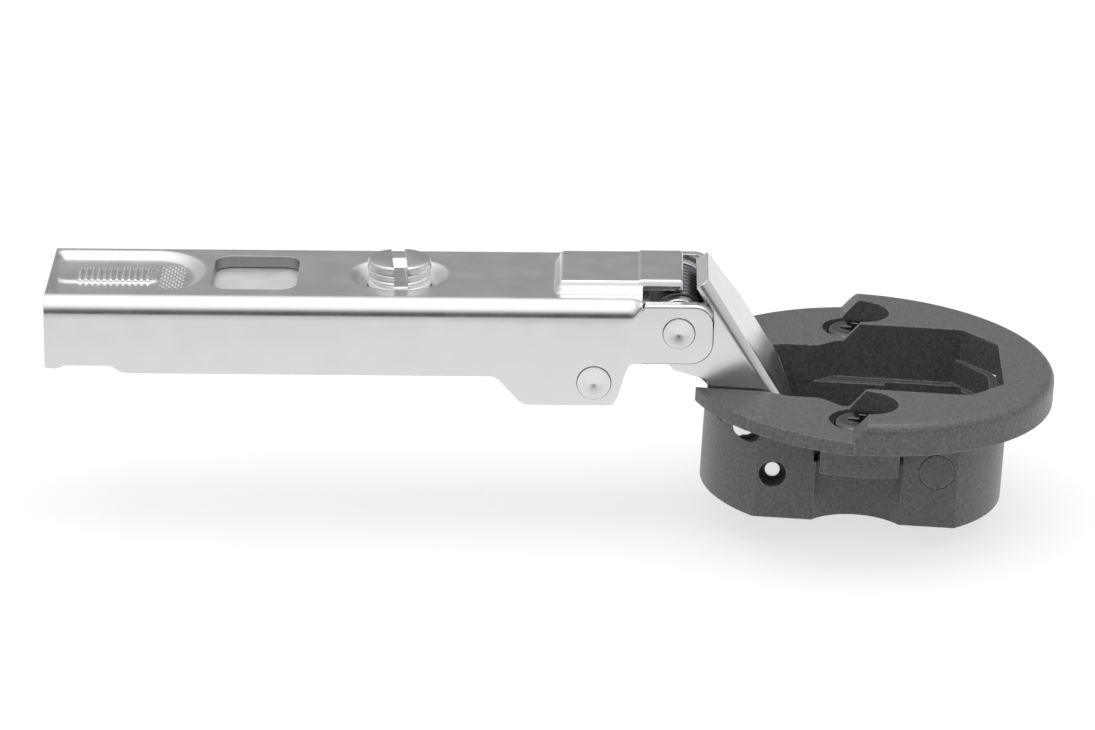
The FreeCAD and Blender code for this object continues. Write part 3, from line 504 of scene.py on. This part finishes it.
def edgeStrip(piece, chosen, width, segments, slot):
    bpy.ops.object.mode_set(mode="EDIT")
    bpy.ops.mesh.select_mode(type="EDGE")
    bpy.ops.mesh.select_all(action="DESELECT")
    bpy.ops.object.mode_set(mode="OBJECT")
    mesh = bmesh.new()
    mesh.from_mesh(piece.data)
    mesh.edges.ensure_lookup_table()
    for line in mesh.edges:
        line.select = False
        middle = (line.verts[0].co + line.verts[1].co) / 2 / mm
        if len(line.link_faces) == 2 and line.calc_face_angle(0.0) > 1.0 and chosen(middle):
            line.select = True
    mesh.select_flush(True)
    mesh.to_mesh(piece.data)
    mesh.free()
    before = len(piece.data.polygons)
    bpy.ops.object.mode_set(mode="EDIT")
    bpy.ops.mesh.bevel(offset=width * mm, segments=segments, affect="EDGES", material=slot)
    bpy.ops.object.mode_set(mode="OBJECT")
    print("edge strip:", len(piece.data.polygons) - before, "faces")


def buildArm():
    xs = spread(arm["columns"])
    last = arm["lastColumns"]
    xs += [arm["front"] - arm["lastRun"] * (1.0 - math.sin(math.radians(90.0 * k / last)))
           for k in range(1, last + 1)]
    flat = spread(arm["rows"])
    flat = [-y for y in reversed(flat[1:])] + flat
    outerSteps, bendSteps, wallSteps = arm["outerRows"], arm["bendRows"], arm["wallRows"]
    side = outerSteps + bendSteps + wallSteps
    rows = len(flat) - 1 + 2 * side
    columns = len(xs) - 1
    piece = emptyGrid("armSheet", columns, rows)
    piece.data.materials.append(platedSteel)
    piece.data.materials.append(paintedShadeLine)
    piece.data.materials.append(paintedShadeWall)
    for vert in piece.data.vertices:
        column = round((vert.co.x + 1.0) / 2.0 * columns)
        row = round((vert.co.y + 1.0) / 2.0 * rows)
        x = xs[column]
        bend, brow = armBrow(x)
        edge = arm["half"] - bend
        step = max(side - row, row - (rows - side), 0)
        sign = -1.0 if row < rows / 2 else 1.0
        if step == 0:
            y = flat[row - side]
            z = armHeight(x, y)
        elif step <= outerSteps:
            y = sign * (flat[-1] + (edge - flat[-1]) * step / outerSteps)
            z = armHeight(x, y)
        elif step <= outerSteps + bendSteps:
            turn = math.pi / 2 * (step - outerSteps) / bendSteps
            y = sign * (edge + bend * math.sin(turn))
            z = arm["top"] - bend + bend * math.cos(turn)
            if step == outerSteps + bendSteps:
                z = brow
        else:
            y = sign * arm["half"]
            share = (step - outerSteps - bendSteps) / wallSteps
            z = brow + (armFoot(x) - brow) * share
        vert.co = Vector((x, y, z)) * mm
    windowRear, windowFront, halfWindow, corner = arm["window"]
    middle = (windowRear + windowFront) / 2
    reach = (windowFront - windowRear) / 2

    def windowGap(x, y):
        dx = max(abs(x - middle) - reach + corner, 0.0)
        dy = max(abs(y) - halfWindow + corner, 0.0)
        inner = min(max(abs(x - middle) - reach + corner, abs(y) - halfWindow + corner), 0.0)
        return math.hypot(dx, dy) + inner - corner

    def unwanted(face):
        x, y, z = face.center / mm
        if z < 5.0 and abs(y) > 7.2:
            return False
        if x > arm["notch"]:
            if abs(y) > 7.249:
                return False
            return abs(y) > arm["tongueHalf"] or x > arm["tongueEnd"]
        if math.hypot(x, y) < arm["hole"]:
            return True
        inside = windowRear < x < windowFront and abs(y) < halfWindow
        return inside and windowGap(x, y) < 0.0

    dropFaces(piece, unwanted)

    def toHole(co):
        away = math.hypot(co.x, co.y) / mm
        return Vector((co.x * arm["hole"] / away, co.y * arm["hole"] / away, co.z))

    def toWindow(co):
        x, y = co.x / mm, co.y / mm
        for _ in range(6):
            gap = windowGap(x, y)
            gx = (windowGap(x + 0.01, y) - windowGap(x - 0.01, y)) / 0.02
            gy = (windowGap(x, y + 0.01) - windowGap(x, y - 0.01)) / 0.02
            size = max(gx * gx + gy * gy, 0.01)
            x -= gap * gx / size
            y -= gap * gy / size
        return Vector((x * mm, y * mm, co.z))

    def byHole(co):
        return math.hypot(co.x, co.y) < arm["holeZone"] * mm and co.z > 4 * mm

    def byWindow(co):
        low, high, half = arm["windowZone"]
        return low * mm < co.x < high * mm and abs(co.y) < half * mm

    snapRing(piece, byHole, toHole)
    snapRing(piece, byWindow, toWindow)
    thicken(piece, arm["sheet"] * mm, 35)
    # no corner past the rear edge
    for vert in piece.data.vertices:
        vert.co.x = max(vert.co.x, xs[0] * mm)

    def onEar(spot):
        return spot.x > arm["earStart"] and abs(abs(spot.y) - arm["half"]) < 0.001

    edgeStrip(piece, lambda spot: onEar(spot) and spot.z > arm["earSplit"], *arm["earRound"])
    # painted shade: the lower ear edges get a dark bevel strip standing in for the shadow of the
    # gap to the link
    edgeStrip(piece, lambda spot: onEar(spot) and spot.z < arm["earSplit"], *arm["earShadeLine"])
    smoothByAngle(35)
    # painted shade: the window's cut walls take the dark material
    for face in piece.data.polygons:
        x, y, z = face.center / mm
        if abs(face.normal.z) < 0.4 and abs(windowGap(x, y)) < 0.02 and z > 5.5:
            face.material_index = 2
    print("arm faces:", len(piece.data.polygons))
    return piece


def buildRibs():
    bpy.ops.object.select_all(action="DESELECT")
    z = arm["top"] - arm["scoopDepth"] + arm["padRise"] - arm["ribSink"]
    place = (arm["ribStart"] * mm, arm["padCentre"] * mm, z * mm)
    bpy.ops.mesh.primitive_cylinder_add(vertices=16, radius=arm["ribRadius"] * mm,
                                        depth=2 * arm["ribReach"] * mm,
                                        location=place, rotation=(math.pi / 2, 0, 0))
    rib = bpy.context.object
    rib.name = "scoopRibs"
    rib.data.materials.append(platedSteel)
    bpy.ops.object.transform_apply(location=True, rotation=True, scale=True)
    bpy.ops.object.mode_set(mode="EDIT")
    bpy.ops.mesh.select_mode(type="FACE")
    bpy.ops.mesh.select_all(action="DESELECT")
    bpy.ops.object.mode_set(mode="OBJECT")
    for face in rib.data.polygons:
        face.select = abs(face.normal.y) > 0.9
    bpy.ops.object.mode_set(mode="EDIT")
    bpy.ops.mesh.bevel(offset=arm["ribRound"] * mm, segments=4, affect="EDGES")
    bpy.ops.object.mode_set(mode="OBJECT")
    copies = [rib]
    for i in range(1, arm["ribs"]):
        twin = rib.copy()
        twin.data = rib.data.copy()
        bpy.context.scene.collection.objects.link(twin)
        for vert in twin.data.vertices:
            vert.co.x += i * arm["ribPitch"] * mm
        copies.append(twin)
    bpy.ops.object.select_all(action="DESELECT")
    for piece in copies:
        piece.select_set(True)
    bpy.context.view_layer.objects.active = rib
    bpy.ops.object.join()
    smoothByAngle(40)
    return rib


armSheet = buildArm()
scoopRibs = buildRibs()
for piece in (armSheet, scoopRibs):
    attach(piece, "arm")
    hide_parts("arm_channel")
print("arm built")

# adjusting screw: threaded body with a slot, standing in the dimple; lengths in mm
screw = {
    "radius": 2.75, "top": 8.04, "foot": 2.7, "footEdge": 0.3, "rim": 0.16,
    "pitch": 0.69, "thread": 0.17, "firstGroove": 7.74,
    "neck": 1.5, "spool": 2.5, "spoolTop": 1.4, "spoolFoot": 0.35, "spoolEdge": 0.15,
    "slotHalf": 0.575, "slotDepth": 1.7, "slotReach": 3.5, "soft": 0.06, "turn": 5.0, "steps": 96,
}


def spinProfile(name, profile, steps, centre=(0.0, 0.0)):
    bpy.ops.object.select_all(action="DESELECT")
    bpy.ops.mesh.primitive_plane_add(size=0.001, location=(0, 0, 0))
    piece = bpy.context.object
    piece.name = name
    bpy.ops.object.mode_set(mode="EDIT")
    bpy.ops.mesh.select_all(action="SELECT")
    bpy.ops.mesh.delete(type="VERT")
    bpy.ops.object.mode_set(mode="OBJECT")
    edges = [(i, i + 1) for i in range(len(profile) - 1)]
    points = [((centre[0] + r) * mm, centre[1] * mm, z * mm) for r, z in profile]
    piece.data.from_pydata(points, edges, [])
    bpy.ops.object.mode_set(mode="EDIT")
    bpy.ops.mesh.select_all(action="SELECT")
    bpy.ops.mesh.spin(steps=steps, angle=math.tau, center=(centre[0] * mm, centre[1] * mm, 0),
                      axis=(0, 0, 1))
    bpy.ops.mesh.select_all(action="SELECT")
    bpy.ops.mesh.remove_doubles(threshold=0.000002)
    bpy.ops.mesh.normals_make_consistent(inside=False)
    bpy.ops.object.mode_set(mode="OBJECT")
    return piece


def blockCutter(name, low, high):
    bpy.ops.object.select_all(action="DESELECT")
    middle = [(a + b) / 2 * mm for a, b in zip(low, high)]
    bpy.ops.mesh.primitive_cube_add(size=1.0, location=middle)
    cutter = bpy.context.object
    cutter.name = name
    cutter.scale = [(b - a) * mm for a, b in zip(low, high)]
    bpy.ops.object.transform_apply(location=True, rotation=True, scale=True)
    return cutter


def carve(piece, cutter):
    bpy.ops.object.select_all(action="DESELECT")
    bpy.context.view_layer.objects.active = piece
    piece.select_set(True)
    saw = piece.modifiers.new("saw", "BOOLEAN")
    saw.operation = "DIFFERENCE"
    saw.solver = "EXACT"
    saw.object = cutter
    bpy.ops.object.modifier_apply(modifier="saw")
    bpy.data.objects.remove(cutter, do_unlink=True)


def softEdges(piece, width, angle=40.0):
    bpy.context.view_layer.objects.active = piece
    bevel = piece.modifiers.new("edge", "BEVEL")
    bevel.width = width * mm
    bevel.segments = 2
    bevel.limit_method = "ANGLE"
    bevel.angle_limit = math.radians(angle)
    bpy.ops.object.modifier_apply(modifier="edge")
    smoothByAngle(angle)
    flat = piece.modifiers.new("flat", "WEIGHTED_NORMAL")
    flat.keep_sharp = True
    bpy.ops.object.modifier_apply(modifier="flat")


def buildScrew():
    radius, top, thread, pitch = screw["radius"], screw["top"], screw["thread"], screw["pitch"]
    foot, neck, spool, edge = screw["foot"], screw["neck"], screw["spool"], screw["spoolEdge"]
    spoolTop, spoolFoot = screw["spoolTop"], screw["spoolFoot"]
    profile = [(0.0, top), (radius - screw["rim"], top), (radius - 0.03, top - screw["rim"]),
               (radius - thread, screw["firstGroove"]),
               (radius - 0.02, screw["firstGroove"] - pitch * 0.4)]
    z = screw["firstGroove"] - pitch * 0.5
    while z > foot + pitch:
        profile += [(radius, z - 0.06), (radius, z - 0.22), (radius - thread, z - pitch * 0.5),
                    (radius - 0.02, z - pitch + 0.12)]
        z -= pitch
    profile += [(radius, foot + screw["footEdge"]), (radius - screw["footEdge"], foot),
                (neck, foot), (neck, spoolTop), (spool - edge, spoolTop), (spool, spoolTop - edge),
                (spool, spoolFoot + edge), (spool - edge, spoolFoot), (0.0, spoolFoot)]
    piece = spinProfile("adjustingScrew", profile, screw["steps"])
    half, reach = screw["slotHalf"], screw["slotReach"]
    carve(piece, blockCutter("slotCutter", (-half, -reach, top - screw["slotDepth"]),
                             (half, reach, top + 1.0)))
    softEdges(piece, screw["soft"])
    turn = Matrix.Rotation(math.radians(screw["turn"]), 4, "Z")
    piece.data.transform(turn)
    return piece


adjustingScrew = buildScrew()
adjustingScrew.data.materials.append(screwSteel)
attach(adjustingScrew, "adjuster")
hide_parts("side_adjust_screw")
print("adjusting screw built")

# clamp screws: domed heads with a cross recess; one modelled in the cup's frame and one copied
clamp = {
    "seatU": 0.2, "seatV": 11.6, "seatDepth": 2.45, "head": 2.5, "headEdge": 0.1, "rise": 0.85,
    "crownRound": 0.7, "crownDrop": 0.6, "shank": 1.1, "foot": -5.9,
    "recess": (1.25, 0.27, 0.75), "soft": 0.05, "steps": 48,
}
cupFrame = {"place": (39.5, 0.0, -0.45), "tilt": 3.2}


def toCup(piece):
    turn = Matrix.Rotation(math.radians(cupFrame["tilt"]), 4, "Y")
    piece.data.transform(Matrix.Translation(Vector(cupFrame["place"]) * mm) @ turn)


def buildClampScrew(name):
    u, v, seat, head = clamp["seatU"], -clamp["seatV"], -clamp["seatDepth"], clamp["head"]
    shank, foot, edge = clamp["shank"], clamp["foot"], clamp["headEdge"]
    crown = seat + clamp["rise"]
    crownFlat = head - clamp["crownRound"]
    dome = [(0.0, crown)]
    dome += [(crownFlat + clamp["crownRound"] * math.sin(math.radians(a)),
              crown - clamp["crownDrop"] * (1.0 - math.cos(math.radians(a))))
             for a in range(0, 91, 10)]
    profile = dome + [(head, seat + edge), (head - edge, seat), (shank, seat), (shank, foot),
                      (0.0, foot)]
    piece = spinProfile(name, profile, clamp["steps"], (u, v))
    reach, half, depth = clamp["recess"]
    for label, du, dv in (("recessAlong", reach, half), ("recessAcross", half, reach)):
        low, high = (u - du, v - dv, crown - depth), (u + du, v + dv, crown + 1)
        carve(piece, blockCutter(label, low, high))
    softEdges(piece, clamp["soft"])
    toCup(piece)
    return piece


def copyAcross(first, name):
    twin = first.copy()
    twin.data = first.data.copy()
    twin.name = name
    bpy.context.scene.collection.objects.link(twin)
    twin.data.transform(Matrix.Translation((0.0, 2 * clamp["seatV"] * mm, 0.0)))
    return twin


frontClampScrew = buildClampScrew("frontClampScrew")
frontClampScrew.data.materials.append(paintedShadeClampSteel)
backClampScrew = copyAcross(frontClampScrew, "backClampScrew")
for piece, body, node in ((frontClampScrew, "front_screw", "front_clamp_screw"),
                          (backClampScrew, "back_screw", "back_clamp_screw")):
    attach(piece, body)
    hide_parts(node)
print("clamp screws built")

# rivets: flat set heads with a shallow centre mark and a painted shade ring at the rim; lengths in
# mm
rivet = {
    "proud": 0.14, "rim": 0.07, "mark": 0.34, "markDepth": 0.05, "steps": 64, "half": 7.25,
    "headFrom": 7.2,
}


def buildRivet(name, radius, x, z):
    reach = rivet["half"] + rivet["proud"]
    end = [(0.0, reach - rivet["markDepth"]),
           (rivet["mark"] * 0.5, reach - rivet["markDepth"] * 0.8), (rivet["mark"], reach),
           (radius - rivet["rim"], reach), (radius, reach - rivet["proud"] + 0.01)]
    profile = end + [(r, -h) for r, h in reversed(end)]
    piece = spinProfile(name, profile, rivet["steps"])
    turn = Matrix.Rotation(math.radians(-90.0), 4, "X")
    piece.data.transform(Matrix.Translation(Vector((x, 0.0, z)) * mm) @ turn)
    piece.data.materials.append(rivetSteel)
    piece.data.materials.append(paintedShadeLine)
    for face in piece.data.polygons:
        away = math.hypot(face.center.x / mm - x, face.center.z / mm - z)
        onHead = abs(face.center.y) > rivet["headFrom"] * mm
        # painted shade: the head's rim faces take the dark material, standing in for the shadow in
        # the gap around the head
        face.material_index = 1 if onHead and away > radius - rivet["rim"] else 0
    smoothByAngle(30)
    return piece


for name, radius, x, z, node in (("frontPivotRivet", 1.4, 24.0, 4.0, "front_pivot_rivet"),
                                 ("rearPivotRivet", 1.5, 16.8, -0.5, "rear_pivot_rivet")):
    piece = buildRivet(name, radius, x, z)
    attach(piece, "arm")
    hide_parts(node)
print("rivets built")

# outer link: the folded sheet with softened bends and a smaller round eye at the arm; lengths in mm
outerLink = {"pivot": (24.0, 4.0), "eyeWas": 2.75, "eye": 2.4, "soft": 0.1}


def cleanCopy(node, name):
    bpy.ops.object.select_all(action="DESELECT")
    piece = nodes[node].copy()
    piece.data = nodes[node].data.copy()
    piece.name = name
    bpy.context.scene.collection.objects.link(piece)
    bpy.context.view_layer.objects.active = piece
    piece.select_set(True)
    bpy.ops.object.mode_set(mode="EDIT")
    bpy.ops.mesh.select_mode(type="VERT")
    bpy.ops.mesh.select_all(action="SELECT")
    bpy.ops.mesh.remove_doubles(threshold=0.000002)
    bpy.ops.mesh.dissolve_limited(angle_limit=math.radians(0.5))
    bpy.ops.object.mode_set(mode="OBJECT")
    return piece


def buildOuterLink():
    piece = cleanCopy("outer_link", "outerLink")
    px, pz = outerLink["pivot"]
    for vert in piece.data.vertices:
        away = math.hypot(vert.co.x / mm - px, vert.co.z / mm - pz)
        if abs(away - outerLink["eyeWas"]) < 0.02:
            share = outerLink["eye"] / outerLink["eyeWas"]
            vert.co.x = (px + (vert.co.x / mm - px) * share) * mm
            vert.co.z = (pz + (vert.co.z / mm - pz) * share) * mm
    softEdges(piece, outerLink["soft"])
    return piece


outerLinkPiece = buildOuterLink()
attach(outerLinkPiece, "front_link")
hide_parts("outer_link")
print("outer link built")

bpy.context.scene.view_settings.view_transform = "Standard"
